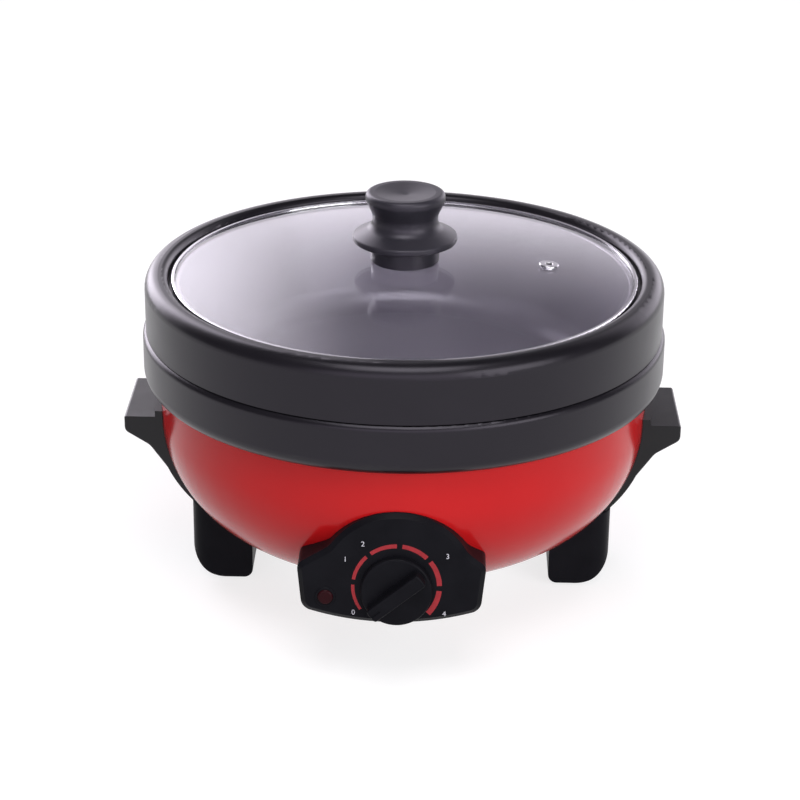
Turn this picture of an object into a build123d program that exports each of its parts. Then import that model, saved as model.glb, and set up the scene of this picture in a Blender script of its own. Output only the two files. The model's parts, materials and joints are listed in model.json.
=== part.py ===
from build123d import *
import os
from math import asin, cos, degrees, hypot, radians, sin, sqrt, tan

# Electric curry cooker: a loose glass lid on a removable non-stick pan, which stands on a heated base.
# The base is a red bowl with a black collar, two side handles with feet, and a front control panel.
# Millimetres, +Z up. The origin is on the table, under the pan's axis. The control panel faces -Y.

# Clearances that several pieces share
overrun = 2.0            # how far a cut runs past the face that it opens
seat_gap = 0.2           # between curved faces that are screwed together
slip_gap = 0.3           # round a piece that passes through a hole
run_gap = 0.05           # round a shaft that turns, and round a screw in its boss
lift_gap = 0.3           # between the pan's skirt and the collar, because the pan stands on the heater

# Outer shell: a steel bowl with a flat bottom, an access hole in it and a flange turned in at the top
ground_clearance = 34.0
shell_radius = 158.5
shell_height = 134.7
shell_wall = 1.2
bowl_round = 79.0        # from the upright wall to the flat bottom
shell_flange = 11.0
access_margin = 13.5     # from the access hole to where the bowl starts to round
shell_bottom_z = ground_clearance
shell_top_z = shell_bottom_z + shell_height
bowl_centre_z = shell_bottom_z + bowl_round
bowl_flat_radius = shell_radius - bowl_round
access_radius = bowl_flat_radius - access_margin
flange_inner_radius = shell_radius - shell_flange

# Collar: the lower black band, on top of the shell
collar_overhang = 10.5   # past the shell's side, all round
collar_drop = 30.2       # how far it hangs over the shell
collar_wall = 3.0
collar_shoulder = 4.0
collar_sole = 1.5        # flat left under its rounded lower edge
collar_radius = shell_radius + collar_overhang
collar_bottom_round = collar_overhang - collar_sole
collar_top_z = shell_top_z + collar_wall
collar_bottom_z = shell_top_z - collar_drop

# Pan: a drawn bowl with a ledge for the lid, a broad rounded rim and a skirt
pan_setback = 2.0        # from the collar's side to the pan's skirt
pan_rim_width = 15.0
pan_ledge = 8.0          # width of the ledge that the lid rests on
pan_taper = 22.0         # how much smaller the floor is than the mouth
pan_wall = 2.5
pan_base = 3.0
pan_depth = 73.5         # from the top of the rim to the floor
pan_skirt = 36.5
pan_corner = 20.0
ledge_depth = 8.5
rim_round_shares = (0.3, 0.57)       # of the rim's width: its inner and outer rounds
pan_radius = collar_radius - pan_setback
riser_radius = pan_radius - pan_rim_width
pan_mouth_radius = riser_radius - pan_ledge
pan_floor_radius = pan_mouth_radius - pan_taper
rim_inner_round, rim_outer_round = [share * pan_rim_width for share in rim_round_shares]
pan_skirt_z = collar_top_z + lift_gap
pan_rim_z = pan_skirt_z + pan_skirt
pan_floor_z = pan_rim_z - pan_depth
pan_bottom_z = pan_floor_z - pan_base
ledge_z = pan_rim_z - ledge_depth

# Lid: glass in a folded steel ring, with a vent eyelet
lid_play = 2.0           # between the ring and the pan's rim
ring_wall = 0.8
ring_lip = 2.2           # how far the ring folds over the glass
glass_thickness = 4.0
glass_gap = 0.1
dome_rise = 9.6
eyelet_reach_share = 0.62            # of the lid's radius
eyelet_bearing = 3.0     # degrees round from +X
eyelet_flange_radius = 6.3
eyelet_flange = 1.0
eyelet_barrel_radius = 3.6
eyelet_bore_radius = 2.2
eyelet_curl_radius = 5.0
lid_radius = riser_radius - lid_play
eyelet_reach = eyelet_reach_share * lid_radius
glass_radius = lid_radius - ring_wall - glass_gap
dome_reach = lid_radius - ring_lip - glass_gap
glass_bottom_z = ledge_z + ring_wall + glass_gap
glass_top_z = glass_bottom_z + glass_thickness
ring_height = glass_thickness + 2 * (ring_wall + glass_gap)
dome_radius = (dome_reach**2 + dome_rise**2) / (2 * dome_rise)
dome_arc = degrees(asin(dome_reach / dome_radius))
apex_z = glass_top_z + dome_rise

# Lid knob: turned, with a saucer skirt, a waist and a dished top, on a plain base
knob_base_inset = 11.5   # from the edge of the skirt to the base's side
knob_base_height = 11.2
seal_inset = 8.0         # from the base's side to the seal's
seal_thickness = 1.0
seal_recess = 0.8
lid_knob_height = 34.5
lid_knob_top_radius = 25.5
lid_knob_waist_inset = 4.5           # from the top disc's side
lid_knob_skirt_reach = 8.0           # past the top disc's side
lid_knob_dish = 2.2
lid_knob_edge = 3.0
skirt_edge_shares = (0.07, 0.17)     # of the knob's height: where the skirt's edge starts and ends
waist_shares = (0.36, 0.57)          # of the knob's height: where the waist starts and ends
top_disc_share = 0.85                # of the knob's height: where the top disc starts
waist_round_share = 0.205            # of the knob's height
lid_screw_radius = 2.5
lid_screw_head_radius = 7.0
lid_screw_head = 2.5
lid_screw_bite = 18.0    # how far it goes up into the knob
lid_screw_hole = lid_screw_radius + slip_gap
lid_knob_waist_radius = lid_knob_top_radius - lid_knob_waist_inset
lid_knob_skirt_radius = lid_knob_top_radius + lid_knob_skirt_reach
lid_knob_waist_round = waist_round_share * lid_knob_height
knob_base_radius = lid_knob_skirt_radius - knob_base_inset
seal_radius = knob_base_radius - seal_inset

# Heater: a cast plate with a ring element peened into its underside, on posts above a heat shield
heater_margin = 24.0       # from the edge of the pan's floor to the plate's
heater_web = 6.0
element_ring_share = 0.775 # of the plate's radius
element_radius = 3.5
element_rib_width = 16.0
element_rib_depth = 7.0
element_gap_angle = 40.0   # degrees between the ends of the element's ring
element_bend = 12.0
element_tail = 29.0        # how far the ends reach below the ring
post_height = 21.0
post_radius = 5.0
post_circle_share = 0.46   # of the plate's radius
post_count = 3
heater_screw_radius = 2.0
heater_screw_head_radius = 4.0
heater_screw_head = 2.2
heater_screw_bite = 4.0
heater_radius = pan_floor_radius - heater_margin
element_ring_radius = element_ring_share * heater_radius
post_circle = post_circle_share * heater_radius
heater_top_z = pan_bottom_z
heater_web_z = heater_top_z - heater_web
element_z = heater_web_z - element_rib_depth

# Heat shield: a thin steel bowl that hangs from the flange
shield_wall = 0.8
shield_floor_inset = 6.0   # from the edge of the pan's floor to the shield's
shield_corner = 8.0
shield_inset = 1.0         # from the shell's flange to the mouth of the shield
shield_hole_radius = 6.0
shield_floor_radius = pan_floor_radius - shield_floor_inset
shield_floor_z = heater_web_z - post_height
shield_top_z = shell_top_z - shell_wall
shield_mouth_radius = flange_inner_radius - shield_inset
shield_rim_radius = shell_radius - 2 * shell_wall - seat_gap

# Screws through both flanges, up into the collar
flange_screw_count = 6
flange_screw_radius = 1.5
flange_screw_head_radius = 3.0
flange_screw_head = 2.0
flange_screw_inset = 3.8   # from the flange's inner edge
flange_bite_share = 0.8    # of the collar's wall
flange_screw_bite = flange_bite_share * collar_wall
flange_screw_circle = flange_inner_radius + flange_screw_inset

# Control panel: a moulded cover on the front of the bowl, with its face leaning back a little
panel_lean = 5.0           # degrees
panel_stand = 4.0          # how far the top of its face stands off the shell
dial_height = 29.9         # above the shell's bottom
panel_right_reach = 54.0   # from the dial's centre
panel_lamp_room = 6.5      # how much further it reaches at the left, for the lamp
panel_shoulder = 5.5       # how far its right shoulder stands out past the arch
panel_taper = 3.0          # how much narrower its foot is on each side
panel_shoulder_rise = 14.5 # above the dial's centre
panel_flank_run = 24.0     # from the right shoulder in under the arch
panel_flank_rise = 18.0
panel_corner_drop = 14.0   # below the dial's centre
panel_bottom_drop = 22.8   # below the dial's centre
panel_shoulder_round = 6.0
panel_flank_round = 16.0
panel_corner_round = 8.0
panel_wall = 2.5
panel_bevel = 3.0
panel_boss_radius = 4.0
panel_boss_inset = 10.0    # from the panel's right side
panel_boss_rise = 6.0      # above the dial's centre
panel_left_reach = panel_right_reach + panel_lamp_room
panel_arch_radius = panel_right_reach - panel_shoulder
panel_flank_reach = panel_right_reach - panel_flank_run
panel_boss_reach = panel_right_reach - panel_boss_inset
dial_z = shell_bottom_z + dial_height
panel_normal = Vector(0, -cos(radians(panel_lean)), sin(radians(panel_lean)))
dial_y = -(shell_radius + panel_stand + (bowl_centre_z - dial_z) * tan(radians(panel_lean)))
panel_plane = Plane(origin=(0, dial_y, dial_z), x_dir=(1, 0, 0), z_dir=panel_normal)

# Indicator lamp in the panel's lower left
lens_inset = 17.5          # from the panel's side
lens_drop = 5.7            # below the dial's centre
lens_radius = 4.8
lens_dome = 1.4
lens_depth = 7.0
bezel_lip = 0.7
bezel_height = 0.7
bezel_wall = 0.8
lamp_radius = 3.0
lamp_length = 14.0
lens_place = (lens_inset - panel_left_reach, -lens_drop)

# Thermostat behind the panel, its shaft and the control knob
thermostat_width = 34.0
thermostat_height = 26.0
thermostat_depth = 22.0
thermostat_edge = 2.0
bracket_thickness = 1.0
bracket_ear = 6.0          # how far the bracket reaches past the body on each side
bushing_radius = 5.0
stand_off = 3.0            # bosses between the panel and the bracket
stand_off_radius = 4.0
thermostat_screw_radius = 1.5
thermostat_screw_head_radius = 2.8
thermostat_screw_head = 1.8
thermostat_screw_bite = 4.0
tab_width = 6.3
tab_thickness = 0.8
tab_length = 8.0
tab_spacing = 16.0
shaft_radius = 3.0
shaft_flat = 1.5           # cut off one side of the shaft's end
shaft_insert = 10.0        # how far the shaft goes into the body
knob_radius = 21.6
knob_base_thickness = 5.0
knob_height = 15.0
knob_gap = 0.6             # between the knob and the panel
knob_edge = 1.5
grip_width = 9.0
grip_inset = 0.4           # from the rounded edge of the disc
grip_corner = 1.6
grip_edge = 1.2
grip_bearing = 219.0       # degrees anticlockwise from the right: the bar points to the off mark
pointer_width = 1.4
pointer_length = 9.0
pointer_depth = 0.6
knob_bore_depth = 11.0
knob_top = knob_gap + knob_height
bracket_z = -(panel_wall + stand_off + bracket_thickness)
thermostat_back = bracket_z - thermostat_depth

# Sensor bulb under the heater plate, its clip and the capillary tube to the thermostat
bulb_radius = 3.0
bulb_length = 44.0
capillary_radius = 1.0
capillary_rise = 8.0       # above the dial's centre
capillary_run = 26.0       # straight back from the thermostat
capillary_inset = 14.0     # from the element's ring to where it climbs to the bulb
capillary_low = 22.0       # below the shield's floor, where it starts to climb
bulb_lead = 12.0           # from where it climbs to the bulb
clip_width = 8.0
clip_thickness = 0.8
clip_ear = 7.0
capillary_climb = element_ring_radius - capillary_inset

# Side handles: a lip to lift by, running down into a strap that hugs the bowl
handle_stand = 22.0        # how far the lip stands out from the shell
handle_half_width = 32.0
handle_drop = 23.5         # from the collar's lower edge to the lip's top
handle_lip = 10.5
handle_lip_round = 5.0
handle_waist_inset = 16.0  # from the lip's edge to the deepest part of the hollow under it
handle_waist_drop = 20.5   # below the lip's top
handle_waist_round = 12.0
handle_root_drop = 37.0    # below the lip's top
handle_edge = 1.5
strap_thickness = 5.0
strap_upstand = 4.0        # above the lip's top
strap_rise = 19.0          # of its lower end above the shell's bottom
handle_boss_radius = 4.5
handle_boss_spread = 18.0
handle_boss_drop = 9.0     # below the lip's top
handle_reach = shell_radius + handle_stand
handle_top_z = collar_bottom_z - handle_drop
strap_end_z = shell_bottom_z + strap_rise
handle_boss_z = handle_top_z - handle_boss_drop

# Feet with rubber pads
foot_setback = 20.5        # from the shell's side to the foot's
foot_length = 40.0
foot_half_width = 37.0
foot_sole_share = 0.55     # of the foot's length: its large outer round
foot_heel_round = 6.0
foot_corner_round = 13.0
foot_wall = 3.0
pad_length = 22.0
pad_width = 9.0
pad_thickness = 3.0
pad_drop = 2.0             # how far the pad stands out of the foot
pad_inset = 17.0           # from the foot's end to the pad's middle
foot_boss_radius = 4.5
foot_boss_inset = 9.0      # from the foot's inner side
foot_gap = 0.3             # under the strap's end
foot_sole_z = pad_drop
foot_outer = shell_radius - foot_setback
foot_inner = foot_outer - foot_length
foot_sole_round = foot_sole_share * foot_length
pad_spread = foot_half_width - pad_inset
foot_boss_x = foot_inner + foot_boss_inset
pad_x = foot_inner + foot_heel_round + pad_width / 2 + (
    foot_outer - foot_inner - foot_heel_round - foot_sole_round - pad_width) / 2

# Screws with washer heads, driven from inside the shell into bosses that pass through it
boss_margin = 1.2          # how far a boss stands clear inside the shell
boss_screw_radius = 1.75
boss_screw_head_radius = 6.5
boss_screw_head = 2.0
boss_screw_bite = 10.0

# Bottom cover under the access hole
cover_overlap = 9.0
cover_thickness = 1.2
cover_slot_count = 12
cover_slot_length = 22.0
cover_slot_width = 4.0
cover_slot_share = 0.6     # of the access hole's radius: the circle of the slots' middles
cover_screw_count = 4
cover_screw_radius = 1.5
cover_screw_head_radius = 3.0
cover_screw_head = 2.0
cover_screw_length = 6.0
cover_radius = access_radius + cover_overlap
cover_screw_circle = access_radius + cover_overlap / 2
cover_slot_circle = cover_slot_share * access_radius

# Power inlet in a housing on the back of the bowl
inlet_height = 34.0        # of its middle above the shell's bottom
inlet_stand = 21.0         # how far the housing's face stands off the bowl
inlet_half_height = 19.0
inlet_margin = 1.0         # from the bosses to the housing's side
inlet_wall = 2.5
inlet_corner = 6.0
inlet_bevel = 2.0
socket_width = 27.0
socket_height = 19.5
socket_depth = 19.0
socket_flange = 3.0
socket_flange_thickness = 2.0
socket_wall = 1.5
socket_floor = 2.0
socket_chamfer = 4.5
socket_corner = 1.5
blade_width = 2.0
blade_height = 4.0
blade_length = 14.0
blade_tail = 7.0
blade_spacing = 14.0
blade_drop = 3.0           # of the two line blades below the middle, and of the earth blade above it
inlet_boss_radius = 4.0
inlet_boss_gap = 2.5       # between the socket and the bosses beside it
inlet_boss_drop = 7.5      # below the housing's top
inlet_boss_reach = socket_width / 2 + inlet_boss_gap + inlet_boss_radius
inlet_boss_rise = inlet_half_height - inlet_boss_drop
inlet_half_width = inlet_boss_reach + inlet_boss_radius + inlet_margin
inlet_z = shell_bottom_z + inlet_height

# Thermal fuse and wires under the heat shield
fuse_reach_share = 0.5     # of the shield's floor radius, to the right
fuse_set_back = 20.0       # behind the axis
fuse_width = 12.0
fuse_length = 24.0
fuse_height = 6.0
fuse_edge = 1.5
wire_radius = 1.2
wire_run = 22.0            # straight out of a terminal
wire_drop_share = 0.65     # of the way from the element's ends down to the thermostat's terminals
wire_side = 40.0           # how far the long wire keeps from the middle
wire_bend_share = 0.45     # of the shorter run beside a bend
earth_inset = 24.0         # from the edge of the shield's floor to the earth wire's end
fuse_reach = fuse_reach_share * shield_floor_radius
earth_reach = shield_floor_radius - earth_inset


def bowl_radius_at(z):
    """Outside radius of the shell at a height."""
    drop = max(bowl_centre_z - z, 0)
    return shell_radius - bowl_round + sqrt(bowl_round**2 - drop**2)


def bowl_height_at(r):
    """Height of the shell's outside at a radius in its rounded part."""
    return bowl_centre_z - sqrt(bowl_round**2 - (r - shell_radius + bowl_round)**2)


def inside_of_wall(offset_from_axis, z):
    """How far from the middle plane the inside of the shell's wall is, beside that plane."""
    return sqrt((bowl_radius_at(z) - shell_wall)**2 - offset_from_axis**2)


def rounded_profile(points, radii, plane=Plane.XZ):
    """A closed outline with a radius at each of its corners."""
    with BuildSketch(plane) as outline:
        with BuildLine():
            FilletPolyline(*points, radius=radii, close=True)
        make_face()
    return outline.sketch


def screw(plane, radius, length, head_radius, head):
    """A screw: its head stands on the plane and its shank goes down through it."""
    with BuildPart() as piece:
        with BuildSketch(plane):
            Circle(head_radius)
        extrude(amount=head)
        with BuildSketch(plane):
            Circle(radius)
        extrude(amount=-length)
    return piece.part


def tube(route, radius):
    """A round wire or tube, with bends as large as its straight runs leave room for."""
    points = [Vector(point) for point in route]
    bends = []
    for before, here, after in zip(points, points[1:], points[2:]):
        turn = (here - before).get_angle(after - here)
        shorter = min((here - before).length, (after - here).length)
        bends.append(wire_bend_share * shorter / tan(radians(turn / 2)))
    with BuildPart() as piece:
        with BuildLine() as path:
            FilletPolyline(*points, radius=bends)
        with BuildSketch(Plane(origin=path.line @ 0, z_dir=path.line % 0)):
            Circle(radius)
        sweep(path=path.line)
    return piece.part


def save(part, name):
    part.label = name
    export_step(part, f"parts/{name}.step")


os.makedirs("parts", exist_ok=True)

# Shapes that others are cut by or placed on
inlet_plane = Plane(
    origin=(0, bowl_radius_at(inlet_z) + inlet_stand, inlet_z), x_dir=(-1, 0, 0), z_dir=(0, 1, 0))
panel_boss_places = [(side * panel_boss_reach, panel_boss_rise) for side in (-1, 1)]
inlet_boss_places = [(side * inlet_boss_reach, inlet_boss_rise) for side in (-1, 1)]
handle_boss_places = [(side * handle_boss_spread, handle_boss_z) for side in (-1, 1)]
foot_boss_places = [(foot_boss_x, side * pad_spread) for side in (-1, 1)]

panel_screw_reach = panel_boss_reach + boss_screw_head_radius
panel_screw_low = dial_z + panel_boss_rise - boss_screw_head_radius
lean_drop = (-dial_y - inside_of_wall(panel_screw_reach, panel_screw_low)) * tan(radians(panel_lean))
panel_boss_end = inside_of_wall(panel_screw_reach, panel_screw_low - lean_drop) - boss_margin
panel_boss_length = (-dial_y - panel_boss_end) / cos(radians(panel_lean))
inlet_screw_low = inlet_z + inlet_boss_rise - boss_screw_head_radius
inlet_boss_end = inside_of_wall(inlet_boss_reach + boss_screw_head_radius, inlet_screw_low) - boss_margin
inlet_boss_length = inlet_plane.origin.Y - inlet_boss_end
handle_boss_end = inside_of_wall(
    handle_boss_spread + boss_screw_head_radius, handle_boss_z - boss_screw_head_radius) - boss_margin
foot_screw_far = hypot(foot_boss_x + boss_screw_head_radius, pad_spread + boss_screw_head_radius)
foot_boss_top = bowl_height_at(foot_screw_far) + shell_wall + boss_margin

# Openings in the shell behind the panel and behind the inlet
panel_opening_width = thermostat_width + 2 * (bracket_ear + slip_gap)
panel_opening_height = thermostat_height + 2 * overrun
panel_opening_depth = overrun - dial_y - inside_of_wall(
    panel_opening_width / 2, dial_z - panel_opening_height / 2 - lean_drop)
inlet_opening_width = socket_width + 2 * overrun
inlet_opening_height = socket_height + 2 * overrun
inlet_opening_depth = overrun + inlet_plane.origin.Y - inside_of_wall(
    inlet_opening_width / 2, inlet_z - inlet_opening_height / 2)

with BuildPart() as bowl_core:
    revolve(rounded_profile(
        [(0, shell_bottom_z - seat_gap),
         (shell_radius + seat_gap, shell_bottom_z - seat_gap),
         (shell_radius + seat_gap, shell_top_z),
         (0, shell_top_z)],
        [0, bowl_round + seat_gap, 0, 0]), axis=Axis.Z)

# Outer shell
with BuildPart() as outer_shell:
    revolve(rounded_profile(
        [(access_radius, shell_bottom_z),
         (shell_radius, shell_bottom_z),
         (shell_radius, shell_top_z),
         (flange_inner_radius, shell_top_z),
         (flange_inner_radius, shell_top_z - shell_wall),
         (shell_radius - shell_wall, shell_top_z - shell_wall),
         (shell_radius - shell_wall, shell_bottom_z + shell_wall),
         (access_radius, shell_bottom_z + shell_wall)],
        [0, bowl_round, 2 * shell_wall, 0, 0, shell_wall, bowl_round - shell_wall, 0]), axis=Axis.Z)
    with BuildSketch(panel_plane):
        Rectangle(panel_opening_width, panel_opening_height)
    extrude(amount=-panel_opening_depth, mode=Mode.SUBTRACT)
    with BuildSketch(panel_plane):
        with Locations(*panel_boss_places):
            Circle(panel_boss_radius + slip_gap)
    extrude(amount=-panel_boss_length, mode=Mode.SUBTRACT)
    with BuildSketch(inlet_plane):
        Rectangle(inlet_opening_width, inlet_opening_height)
    extrude(amount=-inlet_opening_depth, mode=Mode.SUBTRACT)
    with BuildSketch(inlet_plane):
        with Locations(*inlet_boss_places):
            Circle(inlet_boss_radius + slip_gap)
    extrude(amount=-inlet_boss_length, mode=Mode.SUBTRACT)
    for side in (-1, 1):
        with BuildSketch(Plane(origin=(0, 0, 0), x_dir=(0, 1, 0), z_dir=(side, 0, 0))):
            with Locations(*[(y, side * z) for y, z in handle_boss_places]):
                Circle(handle_boss_radius + slip_gap)
        extrude(amount=handle_reach, mode=Mode.SUBTRACT)
    with BuildSketch(Plane.XY):
        with Locations(*foot_boss_places):
            Circle(foot_boss_radius + slip_gap)
        mirror(about=Plane.YZ)
        with PolarLocations(cover_screw_circle, cover_screw_count):
            Circle(cover_screw_radius + run_gap)
    extrude(amount=foot_boss_top + overrun, mode=Mode.SUBTRACT)
    with BuildSketch(Plane.XY.offset(shell_top_z)):
        with PolarLocations(flange_screw_circle, flange_screw_count):
            Circle(flange_screw_radius + slip_gap)
    extrude(amount=-shell_wall - overrun, mode=Mode.SUBTRACT)
save(outer_shell.part, "outer_shell")

# Collar ring
with BuildPart() as collar_ring:
    revolve(rounded_profile(
        [(shield_mouth_radius, shell_top_z),
         (shield_mouth_radius, collar_top_z),
         (collar_radius, collar_top_z),
         (collar_radius, collar_bottom_z),
         (shell_radius + seat_gap, collar_bottom_z),
         (shell_radius + seat_gap, collar_bottom_z + collar_wall),
         (collar_radius - collar_wall, collar_bottom_z + collar_wall),
         (collar_radius - collar_wall, shell_top_z)],
        [0, 0, collar_shoulder, collar_bottom_round, 0, 0,
         collar_bottom_round - collar_wall, 0]), axis=Axis.Z)
    with BuildSketch(Plane.XY.offset(shell_top_z)):
        with PolarLocations(flange_screw_circle, flange_screw_count):
            Circle(flange_screw_radius + run_gap)
    extrude(amount=flange_screw_bite + run_gap, mode=Mode.SUBTRACT)
save(collar_ring.part, "collar_ring")

# Heat shield
gap_sine = sin(radians(element_gap_angle / 2))
gap_cosine = cos(radians(element_gap_angle / 2))
element_ends = [(side * (element_ring_radius * gap_sine - element_bend * gap_cosine),
                 element_ring_radius * gap_cosine + element_bend * gap_sine) for side in (-1, 1)]
with BuildPart() as heat_shield:
    revolve(rounded_profile(
        [(0, shield_floor_z),
         (shield_floor_radius, shield_floor_z),
         (shield_mouth_radius, shield_top_z),
         (shield_rim_radius, shield_top_z),
         (shield_rim_radius, shield_top_z - shield_wall),
         (shield_mouth_radius + shield_wall, shield_top_z - shield_wall),
         (shield_floor_radius + shield_wall, shield_floor_z - shield_wall),
         (0, shield_floor_z - shield_wall)],
        [0, shield_corner, 0, 0, 0, 0, shield_corner + shield_wall, 0]), axis=Axis.Z)
    with BuildSketch(Plane.XY.offset(shield_floor_z)):
        with Locations(*element_ends, (0, -capillary_climb)):
            Circle(shield_hole_radius)
        with PolarLocations(post_circle, post_count):
            Circle(heater_screw_radius + slip_gap)
    extrude(amount=-shield_wall - overrun, mode=Mode.SUBTRACT)
    with BuildSketch(Plane.XY.offset(shield_top_z)):
        with PolarLocations(flange_screw_circle, flange_screw_count):
            Circle(flange_screw_radius + slip_gap)
    extrude(amount=-shield_wall - overrun, mode=Mode.SUBTRACT)
save(heat_shield.part, "heat_shield")

# Screws through the flanges
flange_screw_plane = Plane(
    origin=(flange_screw_circle, 0, shield_top_z - shield_wall), z_dir=(0, 0, -1))
flange_screw_length = shield_wall + shell_wall + flange_screw_bite
one_flange_screw = screw(
    flange_screw_plane, flange_screw_radius, flange_screw_length,
    flange_screw_head_radius, flange_screw_head)
with BuildPart() as flange_screws:
    with PolarLocations(0, flange_screw_count):
        add(one_flange_screw)
save(flange_screws.part, "flange_screws")

# Heater plate with the rib that holds the element
with BuildPart() as heater_plate:
    with BuildSketch(Plane.XY.offset(heater_web_z)):
        Circle(heater_radius)
    extrude(amount=heater_web)
    chamfer(heater_plate.edges().group_by(Axis.Z)[-1], length=heater_web / 6)
    with BuildSketch(Plane.XZ):
        with Locations((element_ring_radius, heater_web_z - element_rib_depth / 2)):
            Rectangle(element_rib_width, element_rib_depth)
        with Locations((element_ring_radius, element_z)):
            Circle(element_radius + run_gap, mode=Mode.SUBTRACT)
    revolve(axis=Axis.Z)
    with BuildSketch(Plane.XY.offset(heater_web_z)):
        with PolarLocations(post_circle, post_count):
            Circle(heater_screw_radius + run_gap)
    extrude(amount=heater_screw_bite + run_gap, mode=Mode.SUBTRACT)
save(heater_plate.part, "heater_plate")

# Heating element: an open ring whose ends turn down through the shield
element_start = 90 + element_gap_angle / 2
element_sweep = 360 - element_gap_angle
with BuildPart() as heating_element:
    with BuildLine() as element_path:
        ring_arc = CenterArc((0, 0, element_z), element_ring_radius, element_start, element_sweep)
        for along, way in ((0, -1), (1, 1)):
            tip = ring_arc @ along
            heading = (ring_arc % along) * way
            turn_end = tip + heading * element_bend - Vector(0, 0, element_bend)
            TangentArc(tip, turn_end, tangent=heading)
            Line(turn_end, turn_end - Vector(0, 0, element_tail - element_bend))
    with BuildSketch(Plane(origin=element_path.wires()[0] @ 0, z_dir=element_path.wires()[0] % 0)):
        Circle(element_radius)
    sweep(path=element_path.wires()[0])
save(heating_element.part, "heating_element")

# Posts and screws that carry the heater plate on the shield
with BuildPart() as heater_posts:
    with BuildSketch(Plane.XY.offset(shield_floor_z)):
        with PolarLocations(post_circle, post_count):
            Circle(post_radius)
            Circle(heater_screw_radius + slip_gap, mode=Mode.SUBTRACT)
    extrude(amount=post_height)
save(heater_posts.part, "heater_posts")
heater_screw_plane = Plane(origin=(post_circle, 0, shield_floor_z - shield_wall), z_dir=(0, 0, -1))
one_heater_screw = screw(
    heater_screw_plane, heater_screw_radius, shield_wall + post_height + heater_screw_bite,
    heater_screw_head_radius, heater_screw_head)
with BuildPart() as heater_screws:
    with PolarLocations(0, post_count):
        add(one_heater_screw)
save(heater_screws.part, "heater_screws")

# Cooking pan
with BuildPart() as cooking_pan:
    revolve(rounded_profile(
        [(0, pan_floor_z),
         (pan_floor_radius, pan_floor_z),
         (pan_mouth_radius, ledge_z),
         (riser_radius, ledge_z),
         (riser_radius, pan_rim_z),
         (pan_radius, pan_rim_z),
         (pan_radius, pan_skirt_z),
         (pan_radius - pan_wall, pan_skirt_z),
         (pan_radius - pan_wall, pan_rim_z - pan_wall),
         (riser_radius + pan_wall, pan_rim_z - pan_wall),
         (riser_radius + pan_wall, ledge_z - pan_wall),
         (pan_mouth_radius + pan_wall, ledge_z - pan_wall),
         (pan_floor_radius + pan_wall, pan_bottom_z),
         (0, pan_bottom_z)],
        [0, pan_corner, pan_wall / 2, 0, rim_inner_round, rim_outer_round, 0,
         0, rim_outer_round - pan_wall, rim_inner_round - pan_wall, 0, 0,
         pan_corner + pan_wall, 0]), axis=Axis.Z)
save(cooking_pan.part, "cooking_pan")

# Lid glass, pierced for the knob's screw and the vent
eyelet_slope = asin(eyelet_reach / dome_radius)
eyelet_out = Vector(cos(radians(eyelet_bearing)), sin(radians(eyelet_bearing)), 0)
eyelet_normal = eyelet_out * sin(eyelet_slope) + Vector(0, 0, cos(eyelet_slope))
eyelet_origin = eyelet_out * eyelet_reach + Vector(
    0, 0, apex_z - dome_radius * (1 - cos(eyelet_slope)))
eyelet_plane = Plane(origin=eyelet_origin, z_dir=eyelet_normal)
with BuildPart() as lid_glass:
    with BuildSketch(Plane.XZ):
        with BuildLine():
            upper = JernArc((0, apex_z), (1, 0), dome_radius, -dome_arc)
            lower = JernArc((0, apex_z - glass_thickness), (1, 0), dome_radius, -dome_arc)
            Polyline(upper @ 1, (glass_radius, glass_top_z), (glass_radius, glass_bottom_z), lower @ 1)
            Line(upper @ 0, lower @ 0)
        make_face()
    revolve(axis=Axis.Z)
    with BuildSketch(Plane.XY.offset(apex_z + overrun)):
        Circle(lid_screw_hole)
    extrude(amount=-glass_thickness - 2 * overrun, mode=Mode.SUBTRACT)
    with BuildSketch(eyelet_plane.offset(overrun)):
        Circle(eyelet_barrel_radius + run_gap)
    extrude(amount=-glass_thickness - 2 * overrun, mode=Mode.SUBTRACT)
save(lid_glass.part, "lid_glass")

# Steel ring folded round the glass
with BuildPart() as lid_rim_ring:
    revolve(rounded_profile(
        [(lid_radius - ring_lip, ledge_z),
         (lid_radius, ledge_z),
         (lid_radius, ledge_z + ring_height),
         (lid_radius - ring_lip, ledge_z + ring_height),
         (lid_radius - ring_lip, ledge_z + ring_height - ring_wall),
         (lid_radius - ring_wall, ledge_z + ring_height - ring_wall),
         (lid_radius - ring_wall, ledge_z + ring_wall),
         (lid_radius - ring_lip, ledge_z + ring_wall)],
        [0, 0, ring_wall, 0, 0, 0, 0, 0]), axis=Axis.Z)
save(lid_rim_ring.part, "lid_rim_ring")

# Vent eyelet, set square to the dome
eyelet_section = Plane(origin=eyelet_origin, x_dir=eyelet_plane.x_dir, z_dir=-eyelet_plane.y_dir)
with BuildPart() as vent_eyelet:
    revolve(rounded_profile(
        [(eyelet_bore_radius, eyelet_flange),
         (eyelet_flange_radius, eyelet_flange),
         (eyelet_flange_radius, 0),
         (eyelet_barrel_radius, 0),
         (eyelet_barrel_radius, -glass_thickness - glass_gap),
         (eyelet_curl_radius, -glass_thickness - glass_gap),
         (eyelet_curl_radius, -glass_thickness - glass_gap - eyelet_flange),
         (eyelet_bore_radius, -glass_thickness - glass_gap - eyelet_flange)],
        [eyelet_flange / 2, eyelet_flange / 2, 0, 0, 0, eyelet_flange / 4, eyelet_flange / 4,
         eyelet_flange / 2], eyelet_section), axis=Axis(eyelet_origin, eyelet_normal))
save(vent_eyelet.part, "vent_eyelet")

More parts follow.
